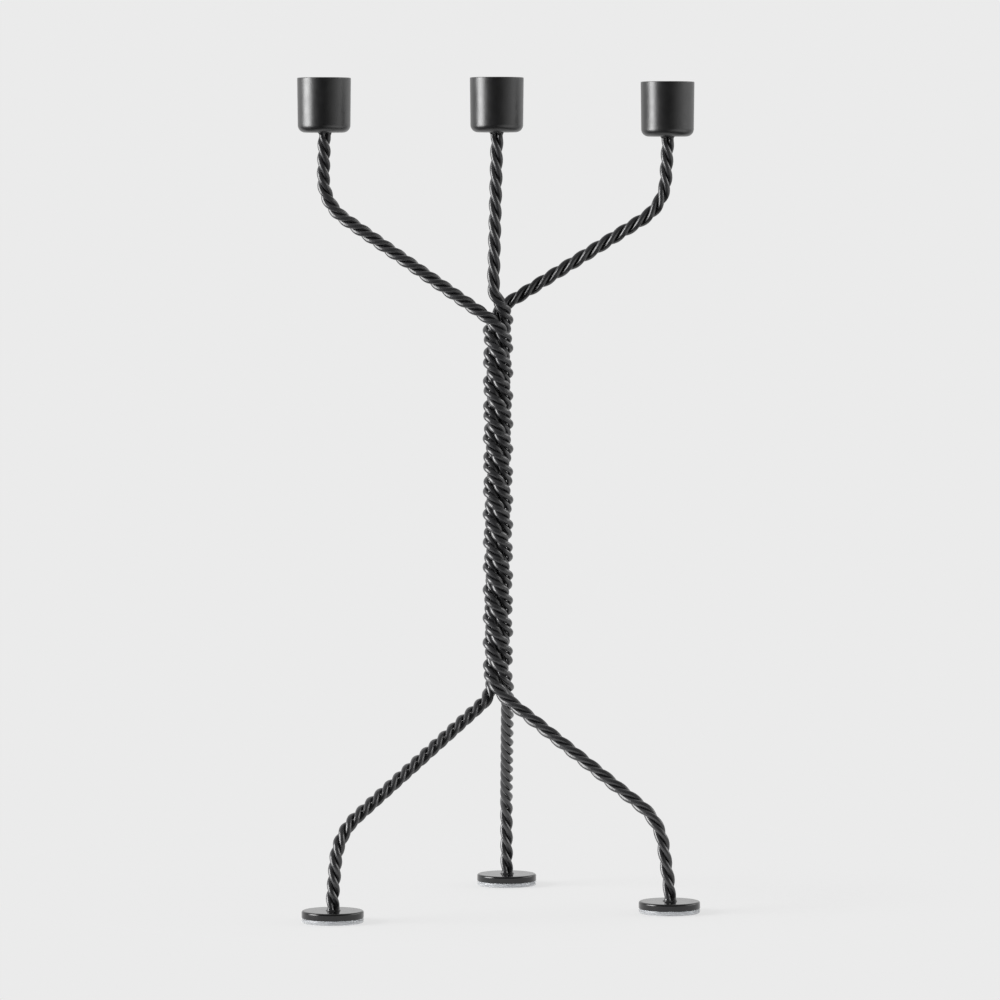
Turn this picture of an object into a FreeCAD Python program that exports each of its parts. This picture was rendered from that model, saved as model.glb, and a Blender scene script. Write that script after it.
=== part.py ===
import FreeCAD, Part
import math
import os

import Sketcher
from FreeCAD import Placement, Rotation, Vector

# Candle holder of twisted black wire. Three ropes, each laid up from three round wires, are twisted
# together as a trunk. Above the trunk each rope bends into an arm with a candle cup welded on its end,
# below it each rope bends into a leg with a foot disc welded on its end. A soft pad sits under each disc.
# The origin is the floor point under the trunk, with X to the right, Y to the back and Z up.

# Driving sizes, in millimetres and degrees
SIZES = {
    "overall_height": 400.0,
    # Candle cups
    "cup_rim_diameter": 25.9,
    "cup_base_diameter": 25.3,
    "cup_bore_diameter": 22.6,
    "cup_height": 26.3,
    "cup_floor": 1.6,
    "cup_corner_radius": 3.6,
    "cup_inner_corner_radius": 1.2,
    "cup_rim_round": 0.4,
    # Wire and ropes
    "wire_diameter": 2.8,
    "wire_gap": 0.17,
    "rope_end_upright": 6.0,
    "rope_end_straight": 0.5,
    "rope_end_ease": 2.5,
    "left_rope_lay": 20.2,
    "center_rope_lay": 25.4,
    "right_rope_lay": 23.4,
    # Trunk: where it starts and ends, and how it twists
    "crown_height": 115.0,
    "leg_height": 104.0,
    "trunk_lay": 37.5,
    "trunk_top_angle": -135.0,
    "trunk_bottom_angle": 165.0,
    "trunk_lead": 5.0,
    "trunk_bend_radius": 14.0,
    "trunk_rope_lay": 18.0,
    "trunk_rope_ease": 5.0,
    "rope_gap": 0.1,
    # Arms
    "left_arm_reach": 83.7,
    "left_arm_azimuth": 180.0,
    "left_arm_lift": -7.1,
    "left_elbow_drop": 33.4,
    "left_elbow_inset": -0.7,
    "left_cup_drop": 0.1,
    "center_arm_reach": 3.0,
    "center_arm_azimuth": -101.0,
    "center_arm_lift": 7.0,
    "center_cup_drop": 0.0,
    "right_arm_reach": 81.6,
    "right_arm_azimuth": 0.0,
    "right_arm_lift": 0.9,
    "right_elbow_drop": 32.6,
    "right_elbow_inset": 1.6,
    "right_cup_drop": 2.0,
    "elbow_radius": 24.0,
    # Legs
    "left_leg_reach": 102.0,
    "left_leg_azimuth": -140.0,
    "left_leg_lift": 0.5,
    "left_knee_height": 41.5,
    "left_knee_inset": 3.1,
    "right_leg_reach": 87.3,
    "right_leg_azimuth": -19.7,
    "right_leg_lift": 1.8,
    "right_knee_height": 43.9,
    "right_knee_inset": 5.0,
    "back_leg_reach": 82.4,
    "back_leg_azimuth": 87.0,
    "back_leg_lift": 5.8,
    "back_knee_height": 40.5,
    "back_knee_inset": 3.0,
    "knee_radius": 28.0,
    # Feet
    "disc_diameter": 29.5,
    "disc_thickness": 3.45,
    "disc_upper_round": 0.9,
    "disc_lower_round": 0.4,
    "pad_diameter": 29.4,
    "pad_thickness": 2.05,
    "pad_edge_round": 0.6,
    # Weld beads between the rope ends and what they carry
    "weld_thickness": 0.8,
    "weld_collar": 0.3,
    "weld_spread": 0.4,
}

ARMS = ("left", "center", "right")
LEGS = ("left", "right", "back")
# Each rope is named by its arm, in the order in which the ropes lie round the trunk
LEG_OF_ROPE = {"left": "left", "center": "right", "right": "back"}
BENT_ARMS = ("left", "right")
WIRE_NAMES = "abc"
STRANDS = len(WIRE_NAMES)
BIARCS_PER_LAY = 4
FULL_TURN = 360.0
TWIST_STEPS = 400
TOLERANCE = 1e-6
STRAIGHT = 1e-7
WIRE_VOLUME_TOLERANCE = 1e-3
UP = Vector(0, 0, 1)

doc = FreeCAD.newDocument("candle_holder")
sheet = doc.addObject("Spreadsheet::Sheet", "Sizes")
for row, (alias, value) in enumerate(SIZES.items(), start=1):
    sheet.set(f"A{row}", alias)
    sheet.set(f"B{row}", str(value))
    sheet.setAlias(f"B{row}", alias)
doc.recompute()

subparts = []


def size(alias):
    return float(sheet.get(alias))


def cells(expression):
    """An expression in which $name stands for the sheet's cell of that name."""
    return expression.replace("$", "Sizes.")


def place(item, x, y, z):
    """Ties the place of a sub-part to the sheet."""
    for axis, expression in (("x", x), ("y", y), ("z", z)):
        item.setExpression(f"Placement.Base.{axis}", cells(expression))


# Turned pieces: cups, discs and pads

# How a sketch numbers its axes and the ends of a line. The start of the H axis is the sketch's origin.
H_AXIS, V_AXIS = -1, -2
LINE_START, LINE_END = 1, 2


def ring_edge(shape, radius, height):
    """The name of the round edge that has this radius at this height."""
    for number, edge in enumerate(shape.Edges, start=1):
        curve = edge.Curve
        if not isinstance(curve, Part.Circle):
            continue
        if abs(curve.Radius - radius) < TOLERANCE and abs(curve.Center.z - height) < TOLERANCE:
            return f"Edge{number}"
    raise ValueError(f"no round edge of radius {radius} at height {height}")


def tie_corner(sketch, line, kind, axis, expression, length):
    """Ties the start of a sketch line to an axis, or to a distance from it that the sheet gives."""
    if expression is None:
        sketch.addConstraint(Sketcher.Constraint("PointOnObject", line, LINE_START, axis))
        return
    from_origin = (kind, H_AXIS, LINE_START, line, LINE_START, length)
    number = sketch.addConstraint(Sketcher.Constraint(*from_origin))
    sketch.setExpression(f"Constraints[{number}]", cells(expression))


def turned_body(label, corners, rounds):
    """A body turned about its own Z axis.

    corners are the cells of the diameter and the height at each corner of the half section, with None on
    the axis and on the base. rounds are the cell of a fillet's radius and the corners that it is put on.
    """
    body = doc.addObject("PartDesign::Body", label)
    body.Label = label
    plane = next(item for item in body.Origin.OriginFeatures if item.Role == "XZ_Plane")
    sketch = body.newObject("Sketcher::SketchObject", f"{label}_section")
    sketch.AttachmentSupport = (plane, [""])
    sketch.MapMode = "FlatFace"
    points = [
        Vector(size(diameter) / 2 if diameter else 0.0, size(height) if height else 0.0, 0)
        for diameter, height in corners
    ]
    ends = points[1:] + points[:1]
    for start, end in zip(points, ends):
        sketch.addGeometry(Part.LineSegment(start, end), False)
    for line in range(len(points)):
        onward = (line + 1) % len(points)
        sketch.addConstraint(Sketcher.Constraint("Coincident", line, LINE_END, onward, LINE_START))
    for line, (point, (diameter, height)) in enumerate(zip(points, corners)):
        radius = f"${diameter} / 2" if diameter else None
        tie_corner(sketch, line, "DistanceX", V_AXIS, radius, point.x)
        tie_corner(sketch, line, "DistanceY", H_AXIS, f"${height}" if height else None, point.y)
    turned = body.newObject("PartDesign::Revolution", f"{label}_turned")
    turned.Profile = sketch
    turned.ReferenceAxis = (sketch, ["V_Axis"])
    turned.Angle = FULL_TURN
    doc.recompute()
    last = turned
    for number, (radius, rounded) in enumerate(rounds, start=1):
        edges = [ring_edge(last.Shape, points[corner].x, points[corner].y) for corner in rounded]
        fillet = body.newObject("PartDesign::Fillet", f"{label}_round_{number}")
        fillet.Base = (last, edges)
        fillet.setExpression("Radius", cells(f"${radius}"))
        doc.recompute()
        last = fillet
    subparts.append(body)
    return body


def plan(kind, side):
    """The place in plan of the end of an arm or a leg, as two expressions."""
    reach = f"${side}_{kind}_reach"
    azimuth = f"${side}_{kind}_azimuth"
    return f"{reach} * cos({azimuth})", f"{reach} * sin({azimuth})"


def cup_bottom(side):
    return f"$overall_height - ${side}_cup_drop - $cup_height"


DISC_TOP = "$pad_thickness + $disc_thickness"


def candle_cup(side):
    corners = (
        (None, None),
        ("cup_base_diameter", None),
        ("cup_rim_diameter", "cup_height"),
        ("cup_bore_diameter", "cup_height"),
        ("cup_bore_diameter", "cup_floor"),
        (None, "cup_floor"),
    )
    rounds = (
        ("cup_corner_radius", (1,)),
        ("cup_inner_corner_radius", (4,)),
        ("cup_rim_round", (2, 3)),
    )
    body = turned_body(f"candle_cup_{side}", corners, rounds)
    place(body, *plan("arm", side), cup_bottom(side))


def round_plate(label, diameter, thickness, rounds, side, height):
    """A round plate under the end of a leg."""
    corners = ((None, None), (diameter, None), (diameter, thickness), (None, thickness))
    body = turned_body(label, corners, rounds)
    place(body, *plan("leg", side), height)


def foot(side):
    round_plate(
        f"foot_disc_{side}",
        "disc_diameter",
        "disc_thickness",
        (("disc_lower_round", (1,)), ("disc_upper_round", (2,))),
        side,
        "$pad_thickness",
    )
    round_plate(
        f"foot_pad_{side}",
        "pad_diameter",
        "pad_thickness",
        (("pad_edge_round", (1,)),),
        side,
        "0",
    )


# Weld beads


def weld_bead(label, kind, side, height, wide_end_up):
    """A low cone of weld metal, its narrow face as wide as the rope's end and a collar."""
    rope_end = "$wire_diameter / 2 + ($wire_diameter + $wire_gap) / sqrt(3) + $weld_collar"
    bead = doc.addObject("Part::Cone", label)
    bead.Label = label
    narrow, wide = ("Radius1", "Radius2") if wide_end_up else ("Radius2", "Radius1")
    bead.setExpression(narrow, cells(rope_end))
    bead.setExpression(wide, cells(f"{rope_end} + $weld_spread"))
    bead.setExpression("Height", cells("$weld_thickness"))
    place(bead, *plan(kind, side), height)
    subparts.append(bead)
    return bead


# Routes of the ropes


class Run:
    """A stretch of a rope's middle line: a straight run, an arc or a helix.

    Each is a turn about an axis with a rise along it, both per millimetre of rope. Frames have Z along the
    rope, and X and Y that follow it without twisting.
    """

    def __init__(self, start, length, axis, center, turn, rise):
        self.start = start
        self.length = length
        self.axis = axis
        self.center = center
        self.turn = turn
        self.rise = rise

    def frame(self, distance):
        swing = Rotation(self.axis, math.degrees(self.turn * distance))
        point = self.center + swing.multVec(self.start.Base - self.center)
        untwist = Rotation(UP, -math.degrees(self.turn * self.rise * distance))
        return Placement(point + self.axis * (self.rise * distance), swing * self.start.Rotation * untwist)

    def end(self):
        return self.frame(self.length)

    def curvature(self, frame):
        return self.axis.cross(along(frame)) * self.turn


def along(frame):
    return frame.Rotation.multVec(UP)


def straight_run(frame, length):
    return Run(frame, length, along(frame), frame.Base, 0.0, 1.0)


def walk(frame, points, radii):
    """Straight runs from a frame through corner points to the last point, with an arc at each corner."""
    runs = []
    for corner, onward, radius in zip(points, points[1:], radii):
        ahead = corner - frame.Base
        leaving = onward - corner
        angle = ahead.getAngle(leaving)
        setback = radius * math.tan(angle / 2)
        runs.append(straight_run(frame, ahead.Length - setback))
        frame = runs[-1].end()
        axis = ahead.cross(leaving).normalize()
        center = frame.Base + axis.cross(along(frame)) * radius
        runs.append(Run(frame, radius * angle, axis, center, 1 / radius, 0.0))
        frame = runs[-1].end()
    runs.append(straight_run(frame, (points[-1] - frame.Base).Length))
    return runs


def polar(radius, azimuth, height):
    turn = math.radians(azimuth)
    return Vector(radius * math.cos(turn), radius * math.sin(turn), height)


def twist_radius(spacing, lay):
    """The radius on which three strands of this lay lie this far apart, measured square to the strands."""
    third = math.tau / STRANDS
    slips = [third * step / TWIST_STEPS for step in range(TWIST_STEPS)]

    def nearest(radius):
        chords = [2 * radius * math.sin((third - slip) / 2) for slip in slips]
        rises = [lay * slip / math.tau for slip in slips]
        return min(map(math.hypot, chords, rises))

    low = spacing / (2 * math.sin(third / 2))
    high = 2 * low
    while high - low > TOLERANCE:
        middle = (low + high) / 2
        if nearest(middle) < spacing:
            low = middle
        else:
            high = middle
    return high


class Trunk:
    """The helix that the three ropes share."""

    def __init__(self, rope_diameter):
        self.bottom = size("leg_height")
        self.top = size("overall_height") - size("crown_height")
        length = self.top - self.bottom
        part_turn = (size("trunk_bottom_angle") - size("trunk_top_angle")) / FULL_TURN
        turns = part_turn + round(length / size("trunk_lay") - part_turn)
        self.lay = length / turns
        self.radius = twist_radius(rope_diameter + size("rope_gap"), self.lay)
        coil = math.hypot(self.lay, math.tau * self.radius)
        self.turn = -math.tau / coil
        self.rise = self.lay / coil

    def start(self, arm, leg):
        """The lowest point of a rope's helix, and the way that the rope runs up from there."""
        lift = size(f"{leg}_leg_lift")
        angle = size("trunk_bottom_angle") + FULL_TURN * (ARMS.index(arm) / STRANDS - lift / self.lay)
        point = polar(self.radius, angle, self.bottom + lift)
        return point, UP.cross(point) * self.turn + UP * self.rise

    def run(self, frame, arm):
        height = self.top + size(f"{arm}_arm_lift") - frame.Base.z
        return Run(frame, height / self.rise, UP, Vector(), self.turn, self.rise)


def rope_route(arm, leg, trunk):
    """The middle line of a rope from its weld on the foot disc to its weld under the cup, as the runs of its
    leg, of the trunk and of its arm."""
    foot_end = foot_welds[leg].Placement.Base + UP * size("weld_thickness")
    cup_end = cup_welds[arm].Placement.Base
    upright = UP * size("rope_end_upright")
    knee_radius = size("knee_radius")
    elbow_radius = size("elbow_radius")
    trunk_bend = size("trunk_bend_radius")
    lead = size("trunk_lead")

    knee_reach = size(f"{leg}_leg_reach") - size(f"{leg}_knee_inset")
    knee = polar(knee_reach, size(f"{leg}_leg_azimuth"), size(f"{leg}_knee_height"))
    low, way_up = trunk.start(arm, leg)
    points = [foot_end + upright, knee, low - way_up * lead, low]
    leg_runs = walk(Placement(foot_end, Rotation()), points, [knee_radius, knee_radius, trunk_bend])
    trunk_runs = [trunk.run(leg_runs[-1].end(), arm)]
    top = trunk_runs[-1].end()

    points = [top.Base + along(top) * lead]
    radii = [trunk_bend]
    if arm in BENT_ARMS:
        elbow_reach = size(f"{arm}_arm_reach") - size(f"{arm}_elbow_inset")
        elbow_height = cup_end.z - size(f"{arm}_elbow_drop")
        points.append(polar(elbow_reach, size(f"{arm}_arm_azimuth"), elbow_height))
        radii.append(elbow_radius)
    points += [cup_end - upright, cup_end]
    radii.append(elbow_radius)
    return leg_runs, trunk_runs, walk(top, points, radii)


# Wires of a rope


def run_at(route, distance):
    """The run that holds a distance along the route, and the distance along that run."""
    for run in route[:-1]:
        if distance < run.length:
            return run, distance
        distance -= run.length
    return route[-1], distance


def strand_radius(lay):
    """The radius of a rope's wires about its middle line, with room on the inside of the tightest bend,
    where the lay is pressed shorter."""
    spacing = size("wire_diameter") + size("wire_gap")
    radius = twist_radius(spacing, lay)
    tightest = min(size("elbow_radius"), size("knee_radius"), size("trunk_bend_radius"))
    return twist_radius(spacing, lay * (1 - radius / (tightest - radius)))


class Twist:
    """How the wires of a rope lie along it: their turn per millimetre about its middle line and their radius
    from it, given at knots and changing evenly from knot to knot."""

    def __init__(self, arm, leg_runs, trunk_runs, arm_runs):
        straight = size("rope_end_straight")
        ended = straight + size("rope_end_ease")
        ease = size("trunk_rope_ease")
        bottom = sum(run.length for run in leg_runs)
        top = bottom + sum(run.length for run in trunk_runs)
        length = top + sum(run.length for run in arm_runs)
        radius = strand_radius(size(f"{arm}_rope_lay"))
        straight_wires = (0.0, radius)
        open_lay = (math.tau / size(f"{arm}_rope_lay"), radius)
        trunk_lay = (math.tau / size("trunk_rope_lay"), strand_radius(size("trunk_rope_lay")))
        self.knots = [
            (0.0, *straight_wires),
            (straight, *straight_wires),
            (ended, *open_lay),
            (bottom - ease, *open_lay),
            (bottom + ease, *trunk_lay),
            (top - ease, *trunk_lay),
            (top + ease, *open_lay),
            (length - ended, *open_lay),
            (length - straight, *straight_wires),
            (length, *straight_wires),
        ]
        self.spans = list(zip(self.knots, self.knots[1:]))

    def at(self, distance):
        """The turn so far and per millimetre, and the radius and its growth per millimetre."""
        turned = 0.0
        for (start, rate, radius), (end, end_rate, end_radius) in self.spans:
            part = min(distance, end) - start
            quickening = (end_rate - rate) / (end - start)
            growth = (end_radius - radius) / (end - start)
            turned += rate * part + quickening * part**2 / 2
            if distance <= end:
                break
        return turned, rate + quickening * part, radius + growth * part, growth

    def stations(self):
        """The distances at which a wire's path is worked out: the knots, and even steps between them."""
        distances = [self.knots[0][0]]
        for (start, *_), (end, *_) in self.spans:
            lays = (self.at(end)[0] - self.at(start)[0]) / math.tau
            steps = max(1, round(BIARCS_PER_LAY * lays))
            distances += [start + (end - start) * step / steps for step in range(1, steps + 1)]
        return distances


def wire_state(route, twist, phase, distance):
    """The place and the direction of a wire at a distance along its rope. The lay is left-handed."""
    run, part = run_at(route, distance)
    frame = run.frame(part)
    turned, rate, radius, growth = twist.at(distance)
    angle = phase - turned
    side = frame.Rotation.multVec(Vector(math.cos(angle), math.sin(angle), 0))
    across = frame.Rotation.multVec(Vector(-math.sin(angle), math.cos(angle), 0))
    spread = 1 - radius * side.dot(run.curvature(frame))
    way = along(frame) * spread - across * (radius * rate) + side * growth
    return frame.Base + side * radius, way.normalize()


def arc_edge(start, way, end):
    """The arc from a point, leaving it in this direction, to another point."""
    chord = end - start
    across = way - chord * (way.dot(chord) / chord.dot(chord))
    if across.Length < STRAIGHT:
        return Part.LineSegment(start, end).toShape()
    sagitta = chord.Length / 2 * math.tan(way.getAngle(chord) / 2)
    middle = (start + end) / 2 + across.normalize() * sagitta
    return Part.Arc(start, middle, end).toShape()


def biarc(start, start_way, end, end_way):
    """Two arcs that meet smoothly, from one point and direction to another."""
    chord = end - start
    ways = start_way + end_way
    spread = 2 * (1 - start_way.dot(end_way))
    slope = chord.dot(ways)
    if spread < STRAIGHT:
        reach = chord.dot(chord) / (2 * slope)
    else:
        reach = (math.sqrt(slope**2 + spread * chord.dot(chord)) - slope) / spread
    joint = (start + end + (start_way - end_way) * reach) / 2
    joint_way = (joint - start - start_way * reach).normalize()
    return [arc_edge(start, start_way, joint), arc_edge(joint, joint_way, end)]


def wire_path(route, twist, phase):
    states = [wire_state(route, twist, phase, distance) for distance in twist.stations()]
    edges = []
    for start, end in zip(states, states[1:]):
        edges += biarc(*start, *end)
    return Part.Wire(edges)


def rope_wire(label, path):
    """One round wire along its path. Its volume is compared with its section times its length."""
    spine = doc.addObject("Part::Feature", f"{label}_path")
    spine.Shape = path
    section = doc.addObject("Part::Circle", f"{label}_section")
    section.setExpression("Radius", cells("$wire_diameter / 2"))
    section.Placement = Placement(path.Vertexes[0].Point, Rotation())
    wire = doc.addObject("Part::Sweep", label)
    wire.Label = label
    wire.Sections = [section]
    wire.Spine = (spine, [])
    wire.Solid = True
    wire.Frenet = False
    doc.recompute()
    expected = math.pi * size("wire_diameter") ** 2 / 4 * path.Length
    if abs(wire.Shape.Volume / expected - 1) > WIRE_VOLUME_TOLERANCE:
        raise RuntimeError(f"{label} has volume {wire.Shape.Volume:.1f} instead of {expected:.1f}")
    subparts.append(wire)


def ropes():
    lays = [size("trunk_rope_lay")] + [size(f"{arm}_rope_lay") for arm in ARMS]
    rope_diameter = 2 * max(map(strand_radius, lays)) + size("wire_diameter")
    trunk = Trunk(rope_diameter)
    print(f"rope diameter {rope_diameter:.2f}, trunk lay {trunk.lay:.2f}, trunk radius {trunk.radius:.2f}")
    for arm in ARMS:
        stretches = rope_route(arm, LEG_OF_ROPE[arm], trunk)
        twist = Twist(arm, *stretches)
        route = [run for stretch in stretches for run in stretch]
        for number, name in enumerate(WIRE_NAMES):
            phase = math.tau * number / STRANDS
            rope_wire(f"{arm}_rope_wire_{name}", wire_path(route, twist, phase))


cup_welds = {}
foot_welds = {}
for arm in ARMS:
    candle_cup(arm)
    under_cup = f"{cup_bottom(arm)} - $weld_thickness"
    cup_welds[arm] = weld_bead(f"cup_weld_{arm}", "arm", arm, under_cup, wide_end_up=True)
for leg in LEGS:
    foot(leg)
    foot_welds[leg] = weld_bead(f"foot_weld_{leg}", "leg", leg, DISC_TOP, wide_end_up=False)
doc.recompute()
ropes()
doc.recompute()

# Checks on every object, before anything is written
for item in doc.Objects:
    if "Invalid" in item.State or "Error" in item.State:
        raise RuntimeError(f"{item.Label} failed: {item.State}")
for item in subparts:
    if item.Shape.isNull() or not item.Shape.isValid():
        raise RuntimeError(f"{item.Label} has no valid shape")

os.makedirs("parts", exist_ok=True)
for item in subparts:
    item.Shape.exportStep(f"parts/{item.Label}.step")
    print(f"{item.Label}: volume {item.Shape.Volume:.1f}, faces {len(item.Shape.Faces)}")
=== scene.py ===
import math

import bmesh
import bpy
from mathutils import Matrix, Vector, noise


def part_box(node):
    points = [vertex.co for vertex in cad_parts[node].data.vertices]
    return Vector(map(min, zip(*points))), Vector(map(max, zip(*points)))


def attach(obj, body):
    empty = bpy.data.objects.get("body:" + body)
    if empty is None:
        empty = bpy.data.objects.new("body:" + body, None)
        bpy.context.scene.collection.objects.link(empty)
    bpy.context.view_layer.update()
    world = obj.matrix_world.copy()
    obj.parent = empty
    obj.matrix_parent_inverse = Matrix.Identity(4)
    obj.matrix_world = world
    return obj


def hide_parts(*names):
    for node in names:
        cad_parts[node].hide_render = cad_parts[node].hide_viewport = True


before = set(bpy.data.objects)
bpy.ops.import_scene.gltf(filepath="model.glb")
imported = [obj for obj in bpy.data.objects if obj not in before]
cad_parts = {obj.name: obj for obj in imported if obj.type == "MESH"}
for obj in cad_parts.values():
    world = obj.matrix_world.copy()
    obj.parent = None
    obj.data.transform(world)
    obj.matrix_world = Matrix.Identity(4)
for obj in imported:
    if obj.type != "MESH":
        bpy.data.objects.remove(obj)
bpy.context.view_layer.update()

# Candle holder of twisted black wire: finishes, weld beads, soft pads, studio and camera.
# Lengths are in metres, in the frame of the part: X to the right, Y to the back, Z up.

MM = 0.001
scene = bpy.context.scene

# Names of the arms, of the legs with the rope that each belongs to, and of the wires in a rope
ARMS = ("left", "center", "right")
ROPE_OF_LEG = {"left": "left", "right": "center", "back": "right"}
WIRES = "abc"

# Noises that are fixed to the part: features per metre and octaves of finer detail
COAT_CLOUDS = (45.0, 3.0)
COAT_DULLING = (260.0, 4.0)
COAT_PEEL = (620.0, 1.5)
COAT_GRAIN = (2600.0, 2.0)
SILICONE_CLOUDS = (180.0, 2.0)
SILICONE_DULLING = (420.0, 3.0)
SILICONE_SKIN = (900.0, 2.0)
# The range that most values of a noise lie in, and the whole range of a share
NOISE_RANGE = (0.3, 0.7)
WHOLE = (0.0, 1.0)

# Powder coat: shares of its base level in the darkest and the palest clouds, how far its roughness
# goes under and over the mean, and the depth of its grain as a share of the orange peel's
COAT_DARK = Vector((0.82, 0.82, 0.87))
COAT_PALE = Vector((1.18, 1.18, 1.25))
COAT_GLOSSIER = 0.03
COAT_DULLER = 0.04
COAT_GRAIN_SHARE = 0.12

# Clear silicone: its darkest and palest tint, the range of its roughness, the depth of its skin, its
# index of refraction, and the share of the light that goes through it instead of being scattered
SILICONE_DARK = (0.90, 0.92, 0.95)
SILICONE_PALE = (0.95, 0.97, 0.99)
SILICONE_ROUGHNESS = (0.14, 0.20)
SILICONE_SKIN_DEPTH = 0.003 * MM
SILICONE_INDEX = 1.41
SILICONE_CLARITY = 0.7

# Weld beads: how much of the wires' outline shows at the foot of a bead and how fast the rest comes
# out, how far the foot flares onto its plate, how deep the top sinks between the wires, and the ripple
WELD_STEPS = 96
WELD_RINGS = 14
WELD_HEIGHT = 1.9 * MM
WELD_FOOT_OUTLINE = 0.25
WELD_OUTLINE_POWER = 0.5
WELD_FLARE = 0.55 * MM
WELD_FLARE_POWER = 2.2
WELD_SINK = 0.12 * MM
WELD_RIPPLE = 0.25 * MM
WELD_RIPPLE_SCALE = 0.9 / MM
# Points of a wire this near to its last level belong to its end face
END_FACE_DEPTH = 0.005 * MM

# Foot pads: roundings, the swell of the side under the weight, and the slight hollow underneath, with
# shares of the radius where the hollow is deepest and where the pad meets the floor
PAD_STEPS = 128
PAD_ROUND_STEPS = 6
PAD_SIDE_STEPS = 8
PAD_TOP_ROUND = 0.25 * MM
PAD_BOTTOM_ROUND = 0.3 * MM
PAD_BULGE = 0.12 * MM
PAD_HOLLOW = 0.12 * MM
PAD_HOLLOW_RADIUS = 0.55
PAD_CONTACT_RADIUS = 0.8

# Camera, as it stood for the photograph
CAMERA_PLACE = Vector((0.97, -2656.5, 330.4)) * MM
CAMERA_TARGET = Vector((0.97, 0.0, 196.5)) * MM
CAMERA_ANGLE = math.radians(10.376)

# Studio: levels of light are as the camera would see them, angles are in degrees
BACKGROUND = 0.831
# Floor: a round sheet whose middle lies behind the trunk and which fades to plain background outwards.
# The eye, also in mirrors and through clear pieces, sees a steady glow and, added to it, a diffuse grey
# that takes the shadow. Other rays meet a paler diffuse grey, which throws light back up at the part.
FLOOR_RADIUS = 0.26
FLOOR_SEGMENTS = 96
FLOOR_BACK = 0.1
FLOOR_FADE = 0.17
FLOOR_DROP = 0.2 * MM
FLOOR_GLOW = 0.662
FLOOR_SHADE = 0.20
FLOOR_BOUNCE = 0.4
# Level of the room by how far back a direction points, from nought at the camera to one at the backdrop
ROOM = ((0.0, 0.03), (0.3, 0.06), (0.5, 0.12), (0.6, 0.25), (0.72, 0.6), (0.85, 0.83))
# How much of that is left well below the horizon, and at which height on a unit sphere that is reached
ROOM_BELOW = 0.3
ROOM_BELOW_HEIGHT = -0.35
# Where mirrored rays start to see the plain background, and where they see nothing else, as places
# along Y on a unit sphere
BACKDROP_START = 0.45
BACKDROP_FULL = 0.75
# Soft-edged patches of light, which add up where they overlap: level, then middle, half size and edge,
# first in azimuth from the camera's side and then in elevation
SOFTBOX = (9.3, (-78.0, 17.0, 10.0), (6.0, 24.0, 9.0))
SOFTBOX_TOP = (7.0, (-78.0, 17.0, 10.0), (27.0, 8.0, 6.0))
FILL_CARD = (0.5, (72.0, 34.0, 30.0), (0.0, 30.0, 15.0))
LOW_CARD = (0.7, (60.0, 45.0, 25.0), (-27.0, 15.0, 8.0))
SIDE_LIGHT = (3.0, (95.0, 25.0, 15.0), (18.0, 9.0, 7.0))
# The pale ceiling: its level and where it starts and is full, as heights on a unit sphere
CEILING_LEVEL = 0.15
CEILING_START = 0.4
CEILING_FULL = 0.9


# Shader nodes


def grey(level):
    return level, level, level, 1.0


def stretch(nodes, links, value, given, wanted, smooth=False):
    """The value with its given range laid over the wanted one, in a straight line or with soft ends."""
    node = nodes.new("ShaderNodeMapRange")
    node.interpolation_type = "SMOOTHSTEP" if smooth else "LINEAR"
    for name, number in zip(("From Min", "From Max", "To Min", "To Max"), (*given, *wanted)):
        node.inputs[name].default_value = number
    links.new(value, node.inputs["Value"])
    return node.outputs["Result"]


def fade(nodes, links, value, none_at, full_at):
    """Rises smoothly from nought where the value is none_at to one where it is full_at."""
    return stretch(nodes, links, value, (none_at, full_at), WHOLE, smooth=True)


def calculate(nodes, links, operation, *values):
    """A math node whose inputs are outputs of other nodes or numbers."""
    node = nodes.new("ShaderNodeMath")
    node.operation = operation
    for socket, value in zip(node.inputs, values):
        if isinstance(value, bpy.types.NodeSocket):
            links.new(value, socket)
        else:
            socket.default_value = value
    return node.outputs["Value"]


def even(nodes, kind, level):
    """A shader node of this kind in one grey."""
    node = nodes.new(kind)
    node.inputs["Color"].default_value = grey(level)
    return node.outputs[0]


def mix(nodes, links, share, first, second):
    """The first shader where the share is nought, the second where it is one."""
    node = nodes.new("ShaderNodeMixShader")
    for socket, value in zip(node.inputs, (share, first, second)):
        links.new(value, socket)
    return node.outputs["Shader"]


def seen_mask(nodes, links, *kinds):
    """One for rays of these kinds and nought for all others."""
    path = nodes.new("ShaderNodeLightPath")
    mask = path.outputs[kinds[0]]
    for kind in kinds[1:]:
        mask = calculate(nodes, links, "MAXIMUM", mask, path.outputs[kind])
    return mask


# Materials


def new_material(name):
    material = bpy.data.materials.new(name)
    material.use_nodes = True
    return material, material.node_tree.nodes, material.node_tree.links


def noise_texture(nodes, links, scale, detail):
    """A noise that is fixed to the part."""
    place = nodes.new("ShaderNodeTexCoord")
    texture = nodes.new("ShaderNodeTexNoise")
    texture.inputs["Scale"].default_value = scale
    texture.inputs["Detail"].default_value = detail
    links.new(place.outputs["Object"], texture.inputs["Vector"])
    return texture.outputs["Fac"]


def varied(nodes, links, texture, wanted):
    """A noise that varies over the wanted range."""
    return stretch(nodes, links, noise_texture(nodes, links, *texture), NOISE_RANGE, wanted)


def tint(nodes, links, value, dark, pale):
    node = nodes.new("ShaderNodeMix")
    node.data_type = "RGBA"
    node.inputs["A"].default_value = (*dark, 1.0)
    node.inputs["B"].default_value = (*pale, 1.0)
    links.new(value, node.inputs["Factor"])
    return node.outputs["Result"]


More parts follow.
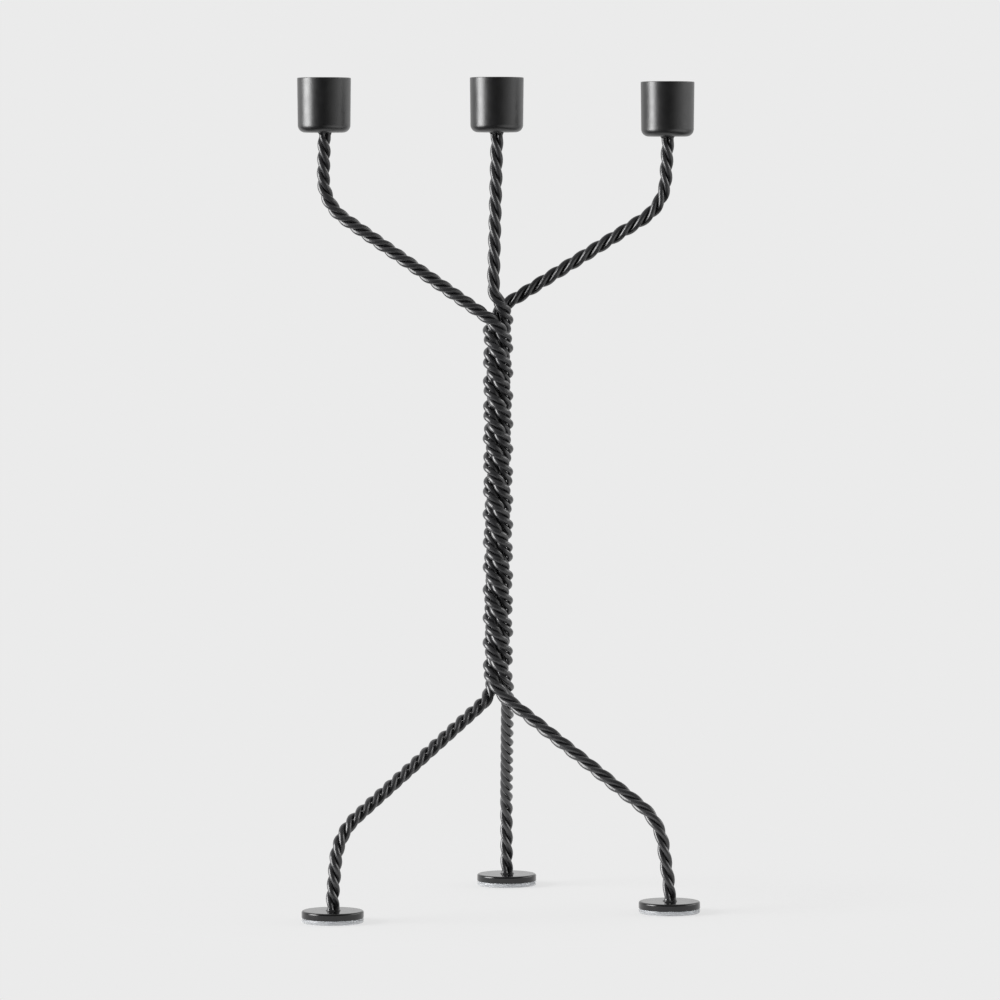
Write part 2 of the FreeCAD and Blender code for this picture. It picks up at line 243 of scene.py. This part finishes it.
def bump(nodes, links, texture, depth, under=None):
    """A bump of this depth by a noise, laid over an earlier one if there is one."""
    node = nodes.new("ShaderNodeBump")
    node.inputs["Strength"].default_value = 1.0
    node.inputs["Distance"].default_value = depth
    links.new(noise_texture(nodes, links, *texture), node.inputs["Height"])
    if under:
        links.new(under, node.inputs["Normal"])
    return node.outputs["Normal"]


def black_coat(name, base, peel_depth, roughness, index):
    """Satin black powder coat with a fine orange-peel skin and a slightly uneven gloss."""
    material, nodes, links = new_material(name)
    shader = nodes["Principled BSDF"]
    cloud = varied(nodes, links, COAT_CLOUDS, WHOLE)
    links.new(tint(nodes, links, cloud, base * COAT_DARK, base * COAT_PALE), shader.inputs["Base Color"])
    uneven = varied(nodes, links, COAT_DULLING, (roughness - COAT_GLOSSIER, roughness + COAT_DULLER))
    links.new(uneven, shader.inputs["Roughness"])
    peel = bump(nodes, links, COAT_PEEL, peel_depth)
    grain = bump(nodes, links, COAT_GRAIN, peel_depth * COAT_GRAIN_SHARE, under=peel)
    links.new(grain, shader.inputs["Normal"])
    shader.inputs["IOR"].default_value = index
    return material


def clear_silicone():
    """Soft clear silicone, slightly milky, with a dull skin."""
    material, nodes, links = new_material("clear_silicone")
    shader = nodes["Principled BSDF"]
    cloud = varied(nodes, links, SILICONE_CLOUDS, WHOLE)
    links.new(tint(nodes, links, cloud, SILICONE_DARK, SILICONE_PALE), shader.inputs["Base Color"])
    links.new(varied(nodes, links, SILICONE_DULLING, SILICONE_ROUGHNESS), shader.inputs["Roughness"])
    links.new(bump(nodes, links, SILICONE_SKIN, SILICONE_SKIN_DEPTH), shader.inputs["Normal"])
    shader.inputs["IOR"].default_value = SILICONE_INDEX
    shader.inputs["Transmission Weight"].default_value = SILICONE_CLARITY
    return material


# New pieces


def add_piece(name, mesh_data, material, node):
    piece = bpy.data.objects.new(name, mesh_data)
    scene.collection.objects.link(piece)
    mesh_data.materials.append(material)
    mesh_data.shade_smooth()
    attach(piece, "root")
    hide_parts(node)


def closed_rings(name, rings):
    """A closed mesh through rings of points, each end closed by a fan to the middle of its ring."""
    mesh = bmesh.new()
    rows = [[mesh.verts.new(point) for point in ring] for ring in rings]
    for row, onward in zip(rows, rows[1:]):
        for number in range(len(row)):
            after = (number + 1) % len(row)
            mesh.faces.new((row[number], row[after], onward[after], onward[number]))
    for row in (rows[0], rows[-1]):
        middle = mesh.verts.new(sum((vert.co for vert in row), Vector()) / len(row))
        for number in range(len(row)):
            mesh.faces.new((row[number], row[(number + 1) % len(row)], middle))
    bmesh.ops.recalc_face_normals(mesh, faces=mesh.faces)
    data = bpy.data.meshes.new(name)
    mesh.to_mesh(data)
    mesh.free()
    return data


def wire_end(node, upper):
    """The middle and the radius of the upper or the lower end face of a wire."""
    points = [vertex.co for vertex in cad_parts[node].data.vertices]
    level = max(point.z for point in points) if upper else min(point.z for point in points)
    face = [point for point in points if abs(point.z - level) < END_FACE_DEPTH]
    low = Vector(map(min, zip(*face)))
    high = Vector(map(max, zip(*face)))
    return (low + high) / 2, (high.x - low.x) / 2


def outline(angle, ends, middle):
    """How far the wires of a rope reach from its middle in a direction."""
    reach = 0.0
    for center, radius in ends:
        offset = center - middle
        along = offset.x * math.cos(angle) + offset.y * math.sin(angle)
        across = offset.y * math.cos(angle) - offset.x * math.sin(angle)
        if abs(across) < radius:
            reach = max(reach, along + math.sqrt(radius**2 - across**2))
    return reach


def weld(node, rope, upper, material):
    """The bead that runs from the wires of a rope's end out onto its cup or its disc."""
    ends = [wire_end(f"{rope}_rope_wire_{wire}", upper) for wire in WIRES]
    middle = sum((center for center, _ in ends), Vector()) / len(ends)
    low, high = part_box(node)
    plate = high.z if upper else low.z
    away = -1 if upper else 1
    widest = max((center - middle).length + radius for center, radius in ends)
    rings = []
    for ring in range(WELD_RINGS + 1):
        share = ring / WELD_RINGS
        shown = WELD_FOOT_OUTLINE + (1 - WELD_FOOT_OUTLINE) * share**WELD_OUTLINE_POWER
        flare = WELD_FLARE * (1 - share) ** WELD_FLARE_POWER - WELD_SINK * share
        points = []
        for step in range(WELD_STEPS):
            angle = math.tau * step / WELD_STEPS
            outward = Vector((math.cos(angle), math.sin(angle), 0.0))
            filled = widest + (outline(angle, ends, middle) - widest) * shown
            point = middle + outward * (filled + flare)
            point.z = plate + away * WELD_HEIGHT * share
            ripple = noise.noise(point * WELD_RIPPLE_SCALE) * WELD_RIPPLE * math.sin(math.pi * share)
            points.append(point + outward * ripple)
        rings.append(points)
    add_piece(f"{node}_bead", closed_rings(node, rings), material, node)


def pad_profile(radius, height):
    """Radius and height up the side of a pad that the weight on it presses a little outwards."""
    profile = [(radius * PAD_HOLLOW_RADIUS, PAD_HOLLOW), (radius * PAD_CONTACT_RADIUS, 0.0)]
    for step in range(PAD_ROUND_STEPS + 1):
        angle = math.pi / 2 * step / PAD_ROUND_STEPS
        inset = PAD_BOTTOM_ROUND * (1 - math.sin(angle))
        profile.append((radius - inset, PAD_BOTTOM_ROUND * (1 - math.cos(angle))))
    straight = height - PAD_BOTTOM_ROUND - PAD_TOP_ROUND
    for step in range(1, PAD_SIDE_STEPS):
        share = step / PAD_SIDE_STEPS
        bulge = PAD_BULGE * math.sin(math.pi * share)
        profile.append((radius + bulge, PAD_BOTTOM_ROUND + straight * share))
    for step in range(PAD_ROUND_STEPS + 1):
        angle = math.pi / 2 * step / PAD_ROUND_STEPS
        inset = PAD_TOP_ROUND * (1 - math.cos(angle))
        profile.append((radius - inset, height - PAD_TOP_ROUND * (1 - math.sin(angle))))
    return profile


def pad(node, material):
    """The silicone pad under a foot disc, in the space of its plain solid."""
    low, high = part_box(node)
    middle = (low + high) / 2
    rings = []
    for radius, height in pad_profile((high.x - low.x) / 2 - PAD_BULGE, high.z - low.z):
        ring = []
        for step in range(PAD_STEPS):
            angle = math.tau * step / PAD_STEPS
            x = middle.x + radius * math.cos(angle)
            y = middle.y + radius * math.sin(angle)
            ring.append(Vector((x, y, low.z + height)))
        rings.append(ring)
    add_piece(f"{node}_soft", closed_rings(node, rings), material, node)


# Studio


def pale_floor():
    """A pale floor that glows evenly to the eye, keeps some light for the shadow and fades into the
    background."""
    material, nodes, links = new_material("pale_floor")
    nodes.remove(nodes["Principled BSDF"])
    both = nodes.new("ShaderNodeAddShader")
    links.new(even(nodes, "ShaderNodeEmission", FLOOR_GLOW), both.inputs[0])
    links.new(even(nodes, "ShaderNodeBsdfDiffuse", FLOOR_SHADE), both.inputs[1])
    place = nodes.new("ShaderNodeTexCoord")
    reach = nodes.new("ShaderNodeVectorMath")
    reach.operation = "LENGTH"
    links.new(place.outputs["Object"], reach.inputs[0])
    inner = fade(nodes, links, reach.outputs["Value"], FLOOR_RADIUS, FLOOR_FADE)
    plain = even(nodes, "ShaderNodeEmission", BACKGROUND)
    seen = mix(nodes, links, inner, plain, both.outputs["Shader"])
    mask = seen_mask(nodes, links, "Is Camera Ray", "Is Glossy Ray", "Is Transmission Ray")
    bounce = even(nodes, "ShaderNodeBsdfDiffuse", FLOOR_BOUNCE)
    links.new(mix(nodes, links, mask, bounce, seen), nodes["Material Output"].inputs["Surface"])
    # The glow is only for what the eye sees, so it isn't sampled as a lamp
    material.cycles.emission_sampling = "NONE"
    return material


def add_floor():
    mesh = bmesh.new()
    bmesh.ops.create_circle(mesh, cap_ends=True, radius=FLOOR_RADIUS, segments=FLOOR_SEGMENTS)
    data = bpy.data.meshes.new("floor")
    mesh.to_mesh(data)
    mesh.free()
    data.materials.append(pale_floor())
    floor = bpy.data.objects.new("floor", data)
    floor.location = (0.0, FLOOR_BACK, -FLOOR_DROP)
    scene.collection.objects.link(floor)


def room_wall(nodes, links, back):
    """The level of the room by how far back a direction points."""
    node = nodes.new("ShaderNodeValToRGB")
    elements = node.color_ramp.elements
    while len(elements) < len(ROOM):
        elements.new(1.0)
    for element, (position, level) in zip(elements, ROOM):
        element.position = position
        element.color = grey(level)
    links.new(back, node.inputs["Fac"])
    return node.outputs["Color"]


def patch(nodes, links, azimuth, elevation, level, across, upright):
    """The light of a soft-edged patch in the room."""
    for angle, (middle, half, edge) in ((azimuth, across), (elevation, upright)):
        off = calculate(nodes, links, "SUBTRACT", angle, math.radians(middle))
        off = calculate(nodes, links, "ABSOLUTE", off)
        inside = fade(nodes, links, off, math.radians(half + edge), math.radians(half - edge))
        level = calculate(nodes, links, "MULTIPLY", inside, level)
    return level


def room_light(nodes, links, x, y, z):
    """The level of light from a direction: a room that is dim in front and pale behind, a pale ceiling,
    a softbox with a hotter top on the left, and a fill card, a low card and a side light on the right."""
    wall = room_wall(nodes, links, stretch(nodes, links, y, (-1.0, 1.0), WHOLE))
    remaining = stretch(nodes, links, z, (ROOM_BELOW_HEIGHT, 0.0), (ROOM_BELOW, 1.0), smooth=True)
    level = calculate(nodes, links, "MULTIPLY", wall, remaining)
    azimuth = calculate(nodes, links, "ARCTAN2", x, calculate(nodes, links, "MULTIPLY", y, -1.0))
    elevation = calculate(nodes, links, "ARCSINE", z)
    for light in (SOFTBOX, SOFTBOX_TOP, FILL_CARD, LOW_CARD, SIDE_LIGHT):
        level = calculate(nodes, links, "ADD", level, patch(nodes, links, azimuth, elevation, *light))
    ceiling = stretch(nodes, links, z, (CEILING_START, CEILING_FULL), (0.0, CEILING_LEVEL), smooth=True)
    return calculate(nodes, links, "ADD", level, ceiling)


def add_world():
    """The light of the room. To the eye, through clear pieces and in mirrored rays towards the back, it is
    the plain background."""
    world = bpy.data.worlds.new("studio")
    world.use_nodes = True
    scene.world = world
    nodes = world.node_tree.nodes
    links = world.node_tree.links
    direction = nodes.new("ShaderNodeTexCoord")
    parts = nodes.new("ShaderNodeSeparateXYZ")
    links.new(direction.outputs["Generated"], parts.inputs["Vector"])
    x, y, z = parts.outputs
    around = nodes["Background"]
    links.new(room_light(nodes, links, x, y, z), around.inputs["Color"])
    plain = even(nodes, "ShaderNodeBackground", BACKGROUND)
    backdrop = fade(nodes, links, y, BACKDROP_START, BACKDROP_FULL)
    mirrored = calculate(nodes, links, "MULTIPLY", seen_mask(nodes, links, "Is Glossy Ray"), backdrop)
    straight = seen_mask(nodes, links, "Is Camera Ray", "Is Transmission Ray")
    share = calculate(nodes, links, "MAXIMUM", straight, mirrored)
    seen = mix(nodes, links, share, around.outputs["Background"], plain)
    links.new(seen, nodes["World Output"].inputs["Surface"])


def add_camera():
    data = bpy.data.cameras.new("camera")
    data.angle = CAMERA_ANGLE
    camera = bpy.data.objects.new("camera", data)
    scene.collection.objects.link(camera)
    camera.location = CAMERA_PLACE
    camera.rotation_euler = (CAMERA_TARGET - CAMERA_PLACE).to_track_quat("-Z", "Y").to_euler()
    scene.camera = camera


# Finishes of the part

cup_coat = black_coat("black_coat_cup", base=0.010, peel_depth=0.02 * MM, roughness=0.33, index=1.8)
disc_coat = black_coat("black_coat_disc", base=0.013, peel_depth=0.006 * MM, roughness=0.13, index=1.55)
# The wires' copy of the black coat is paler than the cups'. This is a painted lift of the shade that falls
# between the wires.
wire_coat_shade_lifted = black_coat("black_coat_wire_shade_lifted", base=0.036, peel_depth=0.008 * MM, roughness=0.28, index=1.7)
weld_coat = black_coat("black_coat_weld", base=0.020, peel_depth=0.05 * MM, roughness=0.20, index=1.7)
silicone = clear_silicone()

# The finish of a node, by a word in its name
FINISHES = {"candle_cup": cup_coat, "disc": disc_coat, "wire": wire_coat_shade_lifted, "weld": weld_coat, "pad": silicone}

for name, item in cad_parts.items():
    finish = next(coat for word, coat in FINISHES.items() if word in name)
    item.data.materials.clear()
    item.data.materials.append(finish)

# Beads and pads in place of the plain solids

for arm in ARMS:
    weld(f"cup_weld_{arm}", arm, upper=True, material=weld_coat)
for leg, rope in ROPE_OF_LEG.items():
    weld(f"foot_weld_{leg}", rope, upper=False, material=weld_coat)
    pad(f"foot_pad_{leg}", silicone)

# Studio and camera

add_floor()
add_world()
add_camera()
scene.view_settings.view_transform = "Standard"
